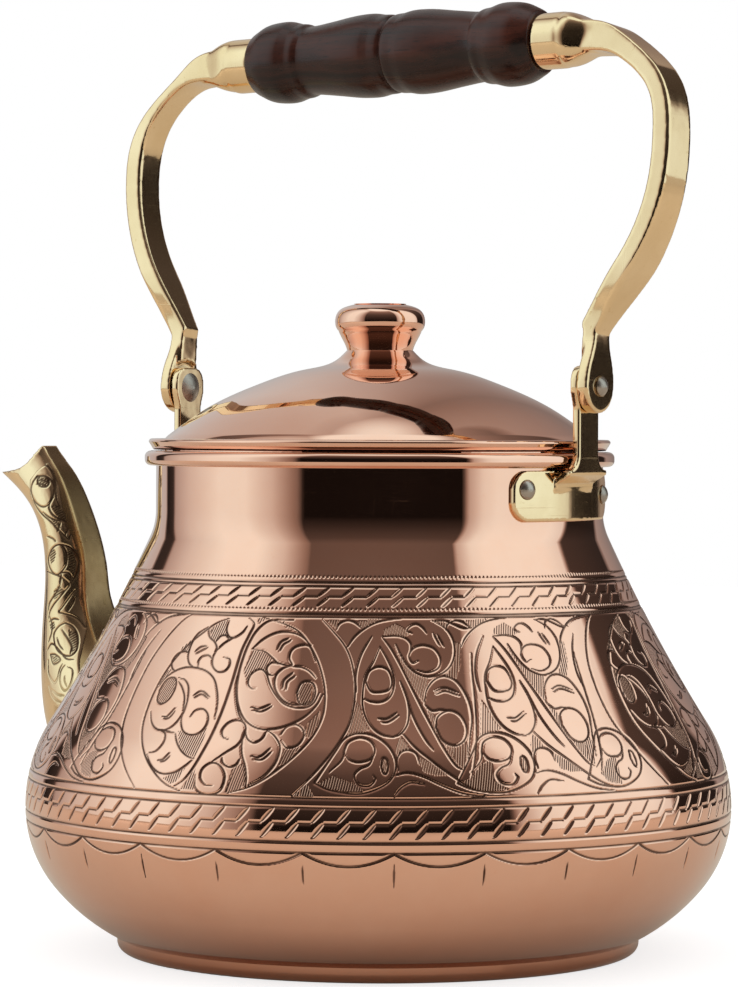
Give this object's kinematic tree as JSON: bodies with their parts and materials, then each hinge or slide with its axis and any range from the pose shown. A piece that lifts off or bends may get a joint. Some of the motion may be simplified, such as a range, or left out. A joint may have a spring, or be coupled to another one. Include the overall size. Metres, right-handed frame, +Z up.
{
  "type": "teapot",
  "caption": "Round-bellied copper teapot with engraved bands, cast brass swan-neck spout, hinged brass bail handle with a turned wooden grip, and a lift-off domed lid.",
  "frame": {"origin": "centre of the foot ring's underside, on the table", "axes": "+Z up along the pot's axis; the spout points along -X, so the rear hinge is on +X"},
  "size_m": [0.2141, 0.18, 0.2405],
  "materials": {
    "copper": "polished",
    "brass": "polished",
    "steel": "satin",
    "wood": "satin"
  },
  "bodies": {
    "pot": {"body_shell": "copper", "base_plate": "copper", "spout": "brass", "rear_bracket": "brass", "front_bracket": "brass", "rear_hinge_pin": "steel", "front_hinge_pin": "steel", "rear_rivet_left": "steel", "rear_rivet_right": "steel", "front_rivet_left": "steel", "front_rivet_right": "steel"},
    "handle": {"rear_arm": "brass", "front_arm": "brass", "handle_grip": "wood", "handle_rod": "steel"},
    "lid": {"lid_dome": "copper", "lid_collar": "copper", "lid_knob": "copper", "knob_washer": "steel", "knob_screw": "steel"}
  },
  "joints": [
    {"name": "handle_swing", "type": "hinge", "parent": "pot", "child": "handle", "pos_m": [0, 0, 0.1435], "axis": [1, 0, 0], "range_deg": [-97, 109]},
    {"name": "lid_lift", "type": "slide", "parent": "pot", "child": "lid", "axis": [0, 0, 1], "range_m": [0, 0.045]}
  ]
}
